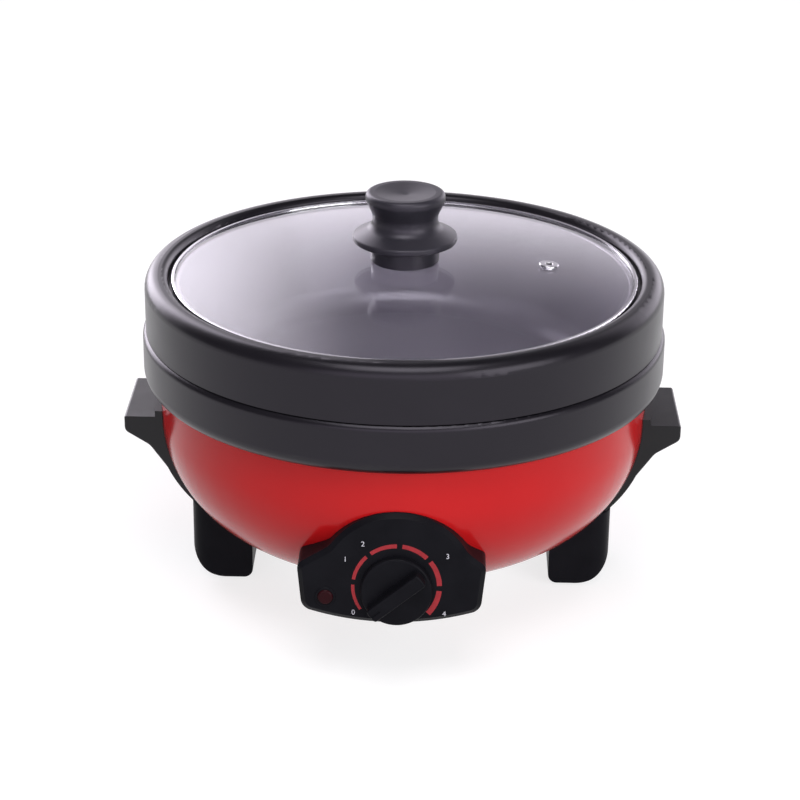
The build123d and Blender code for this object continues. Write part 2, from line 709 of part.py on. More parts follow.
# Knob base with its seal, the knob itself and the screw that holds them to the glass
knob_base_z = apex_z + seal_thickness - seal_recess
lid_knob_z = knob_base_z + knob_base_height
lid_knob_top_z = lid_knob_z + lid_knob_height
with BuildPart() as knob_seal_washer:
    with BuildSketch(Plane.XY.offset(apex_z)):
        Circle(seal_radius)
        Circle(lid_screw_hole, mode=Mode.SUBTRACT)
    extrude(amount=seal_thickness)
save(knob_seal_washer.part, "knob_seal_washer")
with BuildPart() as knob_base:
    with BuildSketch(Plane.XY.offset(knob_base_z)):
        Circle(knob_base_radius)
    extrude(amount=knob_base_height)
    fillet(knob_base.edges().group_by(Axis.Z)[0], radius=seal_recess)
    with BuildSketch(Plane.XY.offset(knob_base_z)):
        Circle(seal_radius + slip_gap)
    extrude(amount=seal_recess, mode=Mode.SUBTRACT)
    with BuildSketch(Plane.XY.offset(knob_base_z)):
        Circle(lid_screw_hole)
    extrude(amount=knob_base_height, mode=Mode.SUBTRACT)
save(knob_base.part, "knob_base")
skirt_low_z, skirt_high_z = [lid_knob_z + share * lid_knob_height for share in skirt_edge_shares]
waist_low_z, waist_high_z = [lid_knob_z + share * lid_knob_height for share in waist_shares]
top_disc_z = lid_knob_z + top_disc_share * lid_knob_height
with BuildPart() as lid_knob:
    revolve(rounded_profile(
        [(0, lid_knob_z),
         (knob_base_radius, lid_knob_z),
         (lid_knob_skirt_radius, skirt_low_z),
         (lid_knob_skirt_radius, skirt_high_z),
         (lid_knob_waist_radius, waist_low_z),
         (lid_knob_waist_radius, waist_high_z),
         (lid_knob_top_radius, top_disc_z),
         (lid_knob_top_radius, lid_knob_top_z),
         (lid_knob_top_radius - 2 * lid_knob_edge, lid_knob_top_z),
         (0, lid_knob_top_z - lid_knob_dish)],
        [0, 0, lid_knob_edge / 3, lid_knob_edge / 2, lid_knob_waist_round, lid_knob_waist_round,
         lid_knob_edge, lid_knob_edge, lid_knob_edge, 0]), axis=Axis.Z)
    with BuildSketch(Plane.XY.offset(lid_knob_z)):
        Circle(lid_screw_radius + run_gap)
    extrude(amount=lid_screw_bite + run_gap, mode=Mode.SUBTRACT)
save(lid_knob.part, "lid_knob")
lid_screw_seat_z = apex_z - glass_thickness - dome_radius + sqrt(dome_radius**2 - lid_screw_head_radius**2)
lid_screw_plane = Plane(origin=(0, 0, lid_screw_seat_z), z_dir=(0, 0, -1))
lid_screw_length = lid_knob_z + lid_screw_bite - lid_screw_seat_z
with BuildPart() as knob_screw:
    add(screw(lid_screw_plane, lid_screw_radius, lid_screw_length, lid_screw_head_radius, lid_screw_head))
    fillet(knob_screw.edges().group_by(Axis.Z)[0], radius=lid_screw_head / 3)
save(knob_screw.part, "knob_screw")

# Control panel: its outline is an arch round the dial on a wider foot
with BuildSketch(panel_plane) as panel_outline:
    with BuildLine():
        ThreePointArc(
            (panel_taper - panel_left_reach, -panel_corner_drop),
            (0, -panel_bottom_drop),
            (panel_right_reach - panel_taper, -panel_corner_drop))
        Polyline(
            (panel_right_reach - panel_taper, -panel_corner_drop),
            (panel_right_reach, panel_shoulder_rise),
            (panel_flank_reach, panel_shoulder_rise + panel_flank_rise),
            (-panel_flank_reach, panel_shoulder_rise + panel_flank_rise),
            (-panel_left_reach, panel_shoulder_rise),
            (panel_taper - panel_left_reach, -panel_corner_drop))
    make_face()
    fillet(panel_outline.vertices().group_by(Axis.Y)[0], radius=panel_corner_round)
    fillet(panel_outline.vertices().sort_by(Axis.X)[0], radius=panel_shoulder_round)
    fillet(panel_outline.vertices().sort_by(Axis.X)[-1], radius=panel_shoulder_round)
    with BuildLine():
        CenterArc((0, 0), panel_arch_radius, 0, 180)
        Line((-panel_arch_radius, 0), (panel_arch_radius, 0))
    make_face()
    offset(amount=panel_flank_round)
    offset(amount=-panel_flank_round)
panel_low_z = dial_z - panel_bottom_drop
panel_depth = -dial_y - sqrt(bowl_radius_at(panel_low_z)**2 - panel_left_reach**2) + overrun
bracket_screw_reach = (thermostat_width + bracket_ear) / 2
bracket_screw_places = [(side * bracket_screw_reach, 0) for side in (-1, 1)]
bezel_barrel_radius = lens_radius + run_gap + bezel_wall
with BuildPart() as control_panel:
    extrude(panel_outline.sketch, amount=-panel_depth)
    panel_face = control_panel.faces().sort_by(Axis(panel_plane.origin, panel_normal))[-1]
    chamfer(panel_face.edges(), length=panel_bevel)
    with BuildSketch(panel_plane.offset(-panel_wall)):
        add(panel_outline.sketch_local)
        offset(amount=-panel_wall)
    extrude(amount=-panel_depth, mode=Mode.SUBTRACT)
    add(bowl_core.part, mode=Mode.SUBTRACT)
    with BuildSketch(panel_plane.offset(-panel_wall)):
        with Locations(*panel_boss_places):
            Circle(panel_boss_radius)
    extrude(amount=panel_wall - panel_boss_length)
    with BuildSketch(panel_plane.offset(-panel_boss_length)):
        with Locations(*panel_boss_places):
            Circle(boss_screw_radius + run_gap)
    extrude(amount=boss_screw_bite + run_gap, mode=Mode.SUBTRACT)
    with BuildSketch(panel_plane.offset(-panel_wall)):
        with Locations(*bracket_screw_places):
            Circle(stand_off_radius)
    extrude(amount=-stand_off)
    with BuildSketch(panel_plane.offset(-panel_wall - stand_off)):
        with Locations(*bracket_screw_places):
            Circle(thermostat_screw_radius + run_gap)
    extrude(amount=thermostat_screw_bite + run_gap, mode=Mode.SUBTRACT)
    with BuildSketch(panel_plane):
        Circle(bushing_radius + slip_gap)
        with Locations(lens_place):
            Circle(bezel_barrel_radius + run_gap)
    extrude(amount=-panel_wall - overrun, mode=Mode.SUBTRACT)
save(control_panel.part, "control_panel")
panel_screw_planes = [
    Plane(origin=panel_plane.from_local_coords((x, y, -panel_boss_length)), z_dir=-panel_normal)
    for x, y in panel_boss_places]
with BuildPart() as panel_screws:
    for plane in panel_screw_planes:
        add(screw(plane, boss_screw_radius, boss_screw_bite, boss_screw_head_radius, boss_screw_head))
save(panel_screws.part, "panel_screws")

# Indicator: bezel, lens and the lamp behind it
with BuildPart() as indicator_bezel:
    with BuildSketch(panel_plane):
        with Locations(lens_place):
            Circle(bezel_barrel_radius + bezel_lip)
    extrude(amount=bezel_height)
    chamfer(indicator_bezel.faces().sort_by(Axis(panel_plane.origin, panel_normal))[-1].edges(),
            length=bezel_height / 2)
    with BuildSketch(panel_plane):
        with Locations(lens_place):
            Circle(bezel_barrel_radius)
    extrude(amount=-lens_depth)
    with BuildSketch(panel_plane.offset(bezel_height)):
        with Locations(lens_place):
            Circle(lens_radius + run_gap)
    extrude(amount=-bezel_height - lens_depth, mode=Mode.SUBTRACT)
save(indicator_bezel.part, "indicator_bezel")
with BuildPart() as indicator_lens:
    with BuildSketch(panel_plane.offset(lens_dome)):
        with Locations(lens_place):
            Circle(lens_radius)
    extrude(amount=-lens_dome - lens_depth)
    fillet(indicator_lens.faces().sort_by(Axis(panel_plane.origin, panel_normal))[-1].edges(),
           radius=lens_dome)
save(indicator_lens.part, "indicator_lens")
with BuildPart() as indicator_lamp:
    with BuildSketch(panel_plane.offset(-lens_depth)):
        with Locations(lens_place):
            Circle(lamp_radius)
    extrude(amount=-lamp_length)
    fillet(indicator_lamp.faces().sort_by(Axis(panel_plane.origin, panel_normal))[0].edges(),
           radius=lamp_radius / 2)
save(indicator_lamp.part, "indicator_lamp")

# Thermostat: bracket with a bushing, body, terminals and screws
with BuildPart() as thermostat_bracket:
    with BuildSketch(panel_plane.offset(bracket_z)):
        RectangleRounded(
            thermostat_width + 2 * bracket_ear, 2 * bushing_radius + bracket_ear, bushing_radius)
        with Locations(*bracket_screw_places):
            Circle(thermostat_screw_radius + slip_gap, mode=Mode.SUBTRACT)
    extrude(amount=bracket_thickness)
    with BuildSketch(panel_plane.offset(bracket_z)):
        Circle(bushing_radius)
    extrude(amount=-bracket_z)
    with BuildSketch(panel_plane):
        Circle(shaft_radius + run_gap)
    extrude(amount=bracket_z, mode=Mode.SUBTRACT)
save(thermostat_bracket.part, "thermostat_bracket")
with BuildPart() as thermostat_body:
    with BuildSketch(panel_plane.offset(bracket_z)):
        Rectangle(thermostat_width, thermostat_height)
    extrude(amount=-thermostat_depth)
    fillet(thermostat_body.edges().filter_by(Axis(panel_plane.origin, panel_normal)), radius=thermostat_edge)
    with BuildSketch(panel_plane.offset(bracket_z)):
        Circle(shaft_radius + run_gap)
    extrude(amount=-shaft_insert - slip_gap, mode=Mode.SUBTRACT)
save(thermostat_body.part, "thermostat_body")
with BuildPart() as thermostat_tabs:
    with BuildSketch(panel_plane.offset(thermostat_back)):
        with GridLocations(tab_spacing, 0, 2, 1):
            Rectangle(tab_thickness, tab_width)
    extrude(amount=-tab_length)
save(thermostat_tabs.part, "thermostat_tabs")
bracket_screw_planes = [
    Plane(origin=panel_plane.from_local_coords((x, y, bracket_z)), z_dir=-panel_normal)
    for x, y in bracket_screw_places]
with BuildPart() as thermostat_screws:
    for plane in bracket_screw_planes:
        add(screw(plane, thermostat_screw_radius, bracket_thickness + thermostat_screw_bite,
                  thermostat_screw_head_radius, thermostat_screw_head))
save(thermostat_screws.part, "thermostat_screws")

# Thermostat shaft, flattened on one side where the knob pushes on
shaft_tip = knob_gap + knob_bore_depth - slip_gap
with BuildPart() as thermostat_shaft:
    with BuildSketch(panel_plane.offset(bracket_z - shaft_insert)):
        Circle(shaft_radius)
    extrude(amount=shaft_insert - bracket_z + shaft_tip)
    with BuildSketch(panel_plane.offset(knob_gap)):
        with Locations((0, 2 * shaft_radius - shaft_flat)):
            Rectangle(2 * shaft_radius, 2 * shaft_radius)
    extrude(amount=shaft_tip, mode=Mode.SUBTRACT)
save(thermostat_shaft.part, "thermostat_shaft")

# Control knob: a disc with a bar across it to grip, and a pointer groove at the bar's end
grip_plane = Plane(
    origin=panel_plane.origin, x_dir=panel_plane.x_dir.rotate(Axis((0, 0, 0), panel_normal), grip_bearing),
    z_dir=panel_normal)
with BuildPart() as control_knob:
    with BuildSketch(grip_plane.offset(knob_gap)):
        Circle(knob_radius)
    extrude(amount=knob_base_thickness)
    fillet(control_knob.faces().sort_by(Axis(grip_plane.origin, panel_normal))[-1].edges(), radius=knob_edge)
    with BuildSketch(grip_plane.offset(knob_gap + knob_base_thickness / 2)) as grip_outline:
        Circle(knob_radius - knob_edge - grip_inset)
        Rectangle(2 * knob_radius, grip_width, mode=Mode.INTERSECT)
        fillet(grip_outline.vertices(), radius=grip_corner)
    extrude(amount=knob_height - knob_base_thickness / 2)
    fillet(control_knob.faces().sort_by(Axis(grip_plane.origin, panel_normal))[-1].edges(), radius=grip_edge)
    with BuildSketch(grip_plane.offset(knob_top)):
        with Locations((knob_radius - pointer_length / 2, 0)):
            Rectangle(pointer_length, pointer_width)
    extrude(amount=-pointer_depth, mode=Mode.SUBTRACT)
    with BuildSketch(panel_plane):
        Circle(shaft_radius + run_gap)
        with Locations((0, 2 * shaft_radius - shaft_flat + run_gap)):
            Rectangle(2 * shaft_radius, 2 * shaft_radius, mode=Mode.SUBTRACT)
    extrude(amount=knob_gap + knob_bore_depth, mode=Mode.SUBTRACT)
save(control_knob.part, "control_knob")

# Sensor bulb under the heater plate, with its clip and the capillary tube to the thermostat
bulb_z = heater_web_z - bulb_radius
bulb_start = bulb_lead - capillary_climb
bulb_plane = Plane(origin=(0, bulb_start, bulb_z), x_dir=(-1, 0, 0), z_dir=(0, 1, 0))
with BuildPart() as sensor_bulb:
    with BuildSketch(bulb_plane):
        Circle(bulb_radius)
    extrude(amount=bulb_length)
    fillet(sensor_bulb.faces().sort_by(Axis.Y)[-1].edges(), radius=bulb_radius / 2)
save(sensor_bulb.part, "sensor_bulb")
clip_inner = bulb_radius + run_gap
clip_outer = clip_inner + clip_thickness
with BuildPart() as bulb_clip:
    with BuildSketch(bulb_plane.offset((bulb_length - clip_width) / 2)):
        Circle(clip_outer)
        with Locations((0, bulb_radius / 2)):
            Rectangle(2 * clip_outer, bulb_radius)
        with Locations((0, bulb_radius - clip_thickness / 2)):
            Rectangle(2 * (clip_outer + clip_ear), clip_thickness)
        Circle(clip_inner, mode=Mode.SUBTRACT)
        with Locations((0, bulb_radius / 2)):
            Rectangle(2 * clip_inner, bulb_radius, mode=Mode.SUBTRACT)
        with Locations((0, bulb_radius + clip_outer)):
            Rectangle(2 * clip_outer, 2 * clip_outer, mode=Mode.SUBTRACT)
    extrude(amount=clip_width)
save(bulb_clip.part, "bulb_clip")
capillary_foot_z = shield_floor_z - capillary_low
capillary_route = [
    panel_plane.from_local_coords((0, capillary_rise, thermostat_back)),
    panel_plane.from_local_coords((0, capillary_rise, thermostat_back - capillary_run)),
    Vector(0, -capillary_climb, capillary_foot_z),
    Vector(0, -capillary_climb, bulb_z),
    Vector(0, bulb_start, bulb_z)]
with BuildPart() as capillary_tube:
    add(tube(capillary_route, capillary_radius))
save(capillary_tube.part, "capillary_tube")

# Side handles: the lip with the hollow under it, the strap round the bowl, and bosses through the shell
handle_root_z = handle_top_z - handle_root_drop
with BuildPart() as strap:
    revolve(rounded_profile(
        [(0, shell_bottom_z - strap_thickness),
         (shell_radius + strap_thickness, shell_bottom_z - strap_thickness),
         (shell_radius + strap_thickness, shell_top_z),
         (0, shell_top_z)],
        [0, bowl_round + strap_thickness, 0, 0]), axis=Axis.Z)
    with BuildSketch(Plane.XY.offset(strap_end_z)):
        with Locations((handle_reach / 2, 0)):
            Rectangle(handle_reach, 2 * handle_half_width)
    extrude(amount=handle_top_z + strap_upstand - strap_end_z, mode=Mode.INTERSECT)
handle_bearings = Plane(origin=(handle_boss_end, 0, 0), x_dir=(0, 1, 0), z_dir=(1, 0, 0))
with BuildPart() as handle_right:
    extrude(rounded_profile(
        [(bowl_flat_radius, handle_top_z),
         (handle_reach, handle_top_z),
         (handle_reach, handle_top_z - handle_lip),
         (handle_reach - handle_waist_inset, handle_top_z - handle_waist_drop),
         (bowl_radius_at(handle_root_z) + strap_thickness / 2, handle_root_z),
         (bowl_flat_radius, handle_root_z)],
        [0, 0, handle_lip_round, handle_waist_round, 0, 0]), amount=handle_half_width, both=True)
    fillet(handle_right.edges().filter_by_position(
        Axis.X, handle_reach - handle_waist_inset, handle_reach), radius=handle_edge)
    add(strap.part)
    add(bowl_core.part, mode=Mode.SUBTRACT)
    with BuildSketch(handle_bearings):
        with Locations(*handle_boss_places):
            Circle(handle_boss_radius)
    extrude(amount=shell_radius - handle_boss_end)
    with BuildSketch(handle_bearings):
        with Locations(*handle_boss_places):
            Circle(boss_screw_radius + run_gap)
    extrude(amount=boss_screw_bite + run_gap, mode=Mode.SUBTRACT)
save(handle_right.part, "handle_right")
with BuildPart() as handle_left:
    mirror(handle_right.part, about=Plane.YZ)
save(handle_left.part, "handle_left")
with BuildPart() as handle_screws:
    for y, z in handle_boss_places:
        add(screw(Plane(origin=(handle_boss_end, y, z), z_dir=(-1, 0, 0)), boss_screw_radius,
                  boss_screw_bite, boss_screw_head_radius, boss_screw_head))
    mirror(about=Plane.YZ)
save(handle_screws.part, "handle_screws")

# Feet, their screws and their rubber pads
foot_top_z = strap_end_z - foot_gap
pad_places = [(pad_x, side * pad_spread) for side in (-1, 1)]


def foot_block(inset):
    """The foot's outline, seen from the front and from above, set in by a wall."""
    with BuildPart() as block:
        extrude(rounded_profile(
            [(foot_inner + inset, foot_sole_z + inset),
             (foot_outer - inset, foot_sole_z + inset),
             (foot_outer - inset, foot_top_z),
             (foot_inner + inset, foot_top_z)],
            [foot_heel_round - inset, foot_sole_round - inset, 0, 0]), amount=foot_half_width, both=True)
        extrude(rounded_profile(
            [(foot_inner - overrun, inset - foot_half_width),
             (foot_outer - inset, inset - foot_half_width),
             (foot_outer - inset, foot_half_width - inset),
             (foot_inner - overrun, foot_half_width - inset)],
            [0, foot_corner_round - inset, foot_corner_round - inset, 0],
            Plane.XY), amount=foot_top_z, mode=Mode.INTERSECT)
    return block.part


with BuildPart() as foot_right:
    add(foot_block(0))
    add(foot_block(foot_wall), mode=Mode.SUBTRACT)
    add(bowl_core.part, mode=Mode.SUBTRACT)
    with BuildSketch(Plane.XY.offset(foot_sole_z + foot_wall)):
        with Locations(*foot_boss_places):
            Circle(foot_boss_radius)
    extrude(amount=foot_boss_top - foot_sole_z - foot_wall)
    with BuildSketch(Plane.XY.offset(foot_boss_top)):
        with Locations(*foot_boss_places):
            Circle(boss_screw_radius + run_gap)
    extrude(amount=-boss_screw_bite - run_gap, mode=Mode.SUBTRACT)
    with BuildSketch(Plane.XY.offset(foot_sole_z)):
        with Locations(*pad_places):
            SlotOverall(pad_length + 2 * seat_gap, pad_width + 2 * seat_gap, rotation=90)
    extrude(amount=pad_thickness - pad_drop, mode=Mode.SUBTRACT)
save(foot_right.part, "foot_right")
with BuildPart() as foot_left:
    mirror(foot_right.part, about=Plane.YZ)
save(foot_left.part, "foot_left")
with BuildPart() as foot_screws:
    for x, y in foot_boss_places:
        add(screw(Plane.XY.offset(foot_boss_top).move(Location((x, y, 0))), boss_screw_radius,
                  boss_screw_bite, boss_screw_head_radius, boss_screw_head))
    mirror(about=Plane.YZ)
save(foot_screws.part, "foot_screws")
for side_name, side in (("left", -1), ("right", 1)):
    for end_name, end in (("front", -1), ("back", 1)):
        with BuildPart() as foot_pad:
            with BuildSketch(Plane(origin=(side * pad_x, end * pad_spread, 0))):
                SlotOverall(pad_length, pad_width, rotation=90)
            extrude(amount=pad_thickness)
            chamfer(foot_pad.faces().sort_by(Axis.Z)[0].edges(), length=pad_drop / 4)
        save(foot_pad.part, f"foot_pad_{side_name}_{end_name}")

# Bottom cover with vent slots, and its screws
with BuildPart() as bottom_cover:
    with BuildSketch(Plane.XY.offset(shell_bottom_z - cover_thickness)):
        Circle(cover_radius)
        with PolarLocations(cover_slot_circle, cover_slot_count):
            SlotOverall(cover_slot_length, cover_slot_width, mode=Mode.SUBTRACT)
        with PolarLocations(cover_screw_circle, cover_screw_count):
            Circle(cover_screw_radius + slip_gap, mode=Mode.SUBTRACT)
    extrude(amount=cover_thickness)
save(bottom_cover.part, "bottom_cover")
cover_screw_plane = Plane(
    origin=(cover_screw_circle, 0, shell_bottom_z - cover_thickness), z_dir=(0, 0, -1))
one_cover_screw = screw(
    cover_screw_plane, cover_screw_radius, cover_screw_length, cover_screw_head_radius, cover_screw_head)
with BuildPart() as bottom_screws:
    with PolarLocations(0, cover_screw_count):
        add(one_cover_screw)
save(bottom_screws.part, "bottom_screws")

# Housing for the power inlet on the back
inlet_low_z = inlet_z - inlet_half_height
inlet_depth = inlet_plane.origin.Y - sqrt(
    bowl_radius_at(inlet_low_z)**2 - inlet_half_width**2) + overrun
with BuildPart() as inlet_housing:
    with BuildSketch(inlet_plane):
        RectangleRounded(2 * inlet_half_width, 2 * inlet_half_height, inlet_corner)
    extrude(amount=-inlet_depth)
    chamfer(inlet_housing.faces().sort_by(Axis.Y)[-1].edges(), length=inlet_bevel)
    with BuildSketch(inlet_plane.offset(-inlet_wall)):
        RectangleRounded(
            2 * (inlet_half_width - inlet_wall), 2 * (inlet_half_height - inlet_wall),
            inlet_corner - inlet_wall)
    extrude(amount=-inlet_depth, mode=Mode.SUBTRACT)
    add(bowl_core.part, mode=Mode.SUBTRACT)
    with BuildSketch(inlet_plane.offset(-inlet_wall)):
        with Locations(*inlet_boss_places):
            Circle(inlet_boss_radius)
    extrude(amount=inlet_wall - inlet_boss_length)
    with BuildSketch(inlet_plane.offset(-inlet_boss_length)):
        with Locations(*inlet_boss_places):
            Circle(boss_screw_radius + run_gap)
    extrude(amount=boss_screw_bite + run_gap, mode=Mode.SUBTRACT)
    with BuildSketch(inlet_plane):
        RectangleRounded(socket_width + 2 * seat_gap, socket_height + 2 * seat_gap, socket_corner)
    extrude(amount=-inlet_boss_length, mode=Mode.SUBTRACT)
save(inlet_housing.part, "inlet_housing")
inlet_screw_planes = [
    Plane(origin=inlet_plane.from_local_coords((x, y, -inlet_boss_length)), z_dir=(0, -1, 0))
    for x, y in inlet_boss_places]
with BuildPart() as inlet_screws:
    for plane in inlet_screw_planes:
        add(screw(plane, boss_screw_radius, boss_screw_bite, boss_screw_head_radius, boss_screw_head))
save(inlet_screws.part, "inlet_screws")

# Inlet socket and its three blades
line_blades = [(side * blade_spacing / 2, -blade_drop) for side in (-1, 1)]
earth_blade = (0, blade_drop)
with BuildPart() as inlet_socket:
    with BuildSketch(inlet_plane):
        RectangleRounded(socket_width + 2 * socket_flange, socket_height + 2 * socket_flange, socket_flange)
    extrude(amount=socket_flange_thickness)
    with BuildSketch(inlet_plane):
        RectangleRounded(socket_width, socket_height, socket_corner)
    extrude(amount=-socket_depth)
    with BuildSketch(inlet_plane.offset(socket_flange_thickness)) as socket_mouth:
        Rectangle(socket_width - 2 * socket_wall, socket_height - 2 * socket_wall)
        chamfer(socket_mouth.vertices().group_by(Axis.Y)[-1], length=socket_chamfer)
    extrude(amount=socket_floor - socket_depth - socket_flange_thickness, mode=Mode.SUBTRACT)
    with BuildSketch(inlet_plane.offset(-socket_depth)):
        with Locations(*line_blades, earth_blade):
            Rectangle(blade_width + 2 * run_gap, blade_height + 2 * run_gap)
    extrude(amount=socket_floor, mode=Mode.SUBTRACT)
save(inlet_socket.part, "inlet_socket")
with BuildPart() as inlet_blades:
    with BuildSketch(inlet_plane.offset(-socket_depth - blade_tail)):
        with Locations(*line_blades, earth_blade):
            Rectangle(blade_width, blade_height)
    extrude(amount=blade_tail + socket_floor + blade_length)
save(inlet_blades.part, "inlet_blades")

# Thermal fuse under the heat shield
shield_under_z = shield_floor_z - shield_wall
with BuildPart() as thermal_fuse:
    with BuildSketch(Plane.XY.offset(shield_under_z)):
        with Locations((fuse_reach, fuse_set_back)):
            RectangleRounded(fuse_width, fuse_length, fuse_edge)
    extrude(amount=-fuse_height)
save(thermal_fuse.part, "thermal_fuse")

# Wires: live to the fuse, fuse to thermostat, thermostat to element, neutral to element, and earth
fuse_z = shield_under_z - fuse_height / 2
element_tip_z = element_z - element_tail
tail_depth = -socket_depth - blade_tail
live_tail, neutral_tail = [inlet_plane.from_local_coords((x, y, tail_depth)) for x, y in line_blades]
earth_tail = inlet_plane.from_local_coords((*earth_blade, tail_depth))
tab_ends = [panel_plane.from_local_coords((side * tab_spacing / 2, 0, thermostat_back - tab_length))
            for side in (-1, 1)]
wire_z = element_tip_z - wire_drop_share * (element_tip_z - tab_ends[0].Z)
inward = Vector(0, -wire_run, 0)
tab_run = panel_normal * -wire_run
fuse_back = Vector(fuse_reach, fuse_set_back + fuse_length / 2, fuse_z)
fuse_front = Vector(fuse_reach, fuse_set_back - fuse_length / 2, fuse_z)
left_tip, right_tip = [Vector(x, y, element_tip_z) for x, y in element_ends]
wire_routes = {
    "live_wire": [live_tail, live_tail + inward, fuse_back - inward, fuse_back],
    "fuse_wire": [fuse_front, fuse_front + inward, tab_ends[1] + tab_run, tab_ends[1]],
    "heater_wire": [
        tab_ends[0], tab_ends[0] + tab_run, Vector(-wire_side, -wire_side, wire_z),
        Vector(-wire_side, wire_side, wire_z), Vector(left_tip.X, left_tip.Y, wire_z), left_tip],
    "neutral_wire": [
        neutral_tail, neutral_tail + inward, Vector(right_tip.X, right_tip.Y, wire_z), right_tip],
    "earth_wire": [
        earth_tail, Vector(0, earth_reach, earth_tail.Z), Vector(0, earth_reach, shield_under_z)],
}
for wire_name, route in wire_routes.items():
    with BuildPart() as wire:
        add(tube(route, wire_radius))
    save(wire.part, wire_name)
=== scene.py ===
import json
import math

import bpy
import bmesh
from mathutils import Matrix, Vector


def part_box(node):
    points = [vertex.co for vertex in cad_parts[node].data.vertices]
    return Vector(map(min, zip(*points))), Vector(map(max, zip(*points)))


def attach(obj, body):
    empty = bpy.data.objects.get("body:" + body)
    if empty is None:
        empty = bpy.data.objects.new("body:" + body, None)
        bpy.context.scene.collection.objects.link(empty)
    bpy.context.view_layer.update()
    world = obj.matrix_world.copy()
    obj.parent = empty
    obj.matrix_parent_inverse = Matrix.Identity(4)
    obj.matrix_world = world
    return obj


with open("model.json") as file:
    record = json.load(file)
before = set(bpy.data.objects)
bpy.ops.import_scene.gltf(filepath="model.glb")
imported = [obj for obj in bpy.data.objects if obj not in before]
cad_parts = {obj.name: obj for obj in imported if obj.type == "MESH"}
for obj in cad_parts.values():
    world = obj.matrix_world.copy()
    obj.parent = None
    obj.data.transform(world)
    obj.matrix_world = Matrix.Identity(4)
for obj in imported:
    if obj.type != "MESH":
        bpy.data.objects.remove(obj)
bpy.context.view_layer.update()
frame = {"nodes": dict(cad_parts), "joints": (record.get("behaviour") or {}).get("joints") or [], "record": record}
nodes = frame["nodes"]
scene = bpy.context.scene
scene.view_settings.view_transform = "Standard"
mm = 0.001


# Helpers for shader nodes

def fill(tree, node, inputs):
    """Links each input of a node to another node's socket, or sets it to a plain value."""
    for name, value in inputs.items():
        if isinstance(value, bpy.types.NodeSocket):
            tree.links.new(value, node.inputs[name])
        else:
            node.inputs[name].default_value = value


def added(tree, kind, inputs=None, **settings):
    """A new node with its settings made and its inputs filled."""
    node = tree.nodes.new(kind)
    for setting, value in settings.items():
        setattr(node, setting, value)
    fill(tree, node, inputs or {})
    return node


def ranged(tree, value, span, values=(0.0, 1.0), **settings):
    """Goes from the first to the last of values while the given value goes over its span."""
    inputs = {"Value": value, "From Min": span[0], "From Max": span[1],
              "To Min": values[0], "To Max": values[1]}
    return added(tree, "ShaderNodeMapRange", inputs, **settings).outputs["Result"]


def joined(tree, operation, first, *others):
    """A sum, product or maximum of two or more values."""
    for other in others:
        first = added(tree, "ShaderNodeMath", {0: first, 1: other}, operation=operation).outputs["Value"]
    return first


def coordinates(tree, kind):
    return added(tree, "ShaderNodeTexCoord").outputs[kind]


def upright_part(tree, kind):
    return added(tree, "ShaderNodeSeparateXYZ", {"Vector": coordinates(tree, kind)}).outputs["Z"]


def height(tree):
    """The height above the table, as it is at rest."""
    return upright_part(tree, "Object")


def facing_up(tree):
    """How far a surface faces upwards, which tells the pan's inside from its underside."""
    return upright_part(tree, "Normal")


def reach_from_axis(tree):
    """The distance from the upright axis that the pan, the lid and the shell share."""
    place = coordinates(tree, "Object")
    flat = added(tree, "ShaderNodeVectorMath", {0: place, 1: (1, 1, 0)}, operation="MULTIPLY")
    reach = added(tree, "ShaderNodeVectorMath", {0: flat.outputs["Vector"]}, operation="LENGTH")
    return reach.outputs["Value"]


def round_the_axis(tree):
    """Coordinates that only change with the distance from the axis and with height, for spun metal."""
    turned = added(tree, "ShaderNodeCombineXYZ", {"X": reach_from_axis(tree), "Z": height(tree)})
    return turned.outputs["Vector"]


# Materials

drift_span = (0.35, 0.65)  # where the noise's values mostly lie
drift_detail = 4.0
grain_detail = 3.0
grain_depth = 0.2 * mm


def linear(red, green, blue):
    """A colour written as 0 to 255, as the shader wants it."""
    def one(value):
        value /= 255
        return value / 12.92 if value <= 0.04045 else ((value + 0.055) / 1.055) ** 2.4
    return one(red), one(green), one(blue), 1.0


def drifting(tree, drift, dark, light):
    """A colour that goes from a dark to a light tone with the drift."""
    ramp = added(tree, "ShaderNodeValToRGB", {"Fac": drift})
    for element, position, tone in zip(ramp.color_ramp.elements, drift_span, (dark, light)):
        element.position = position
        element.color = linear(*tone)
    return ramp.outputs["Color"]


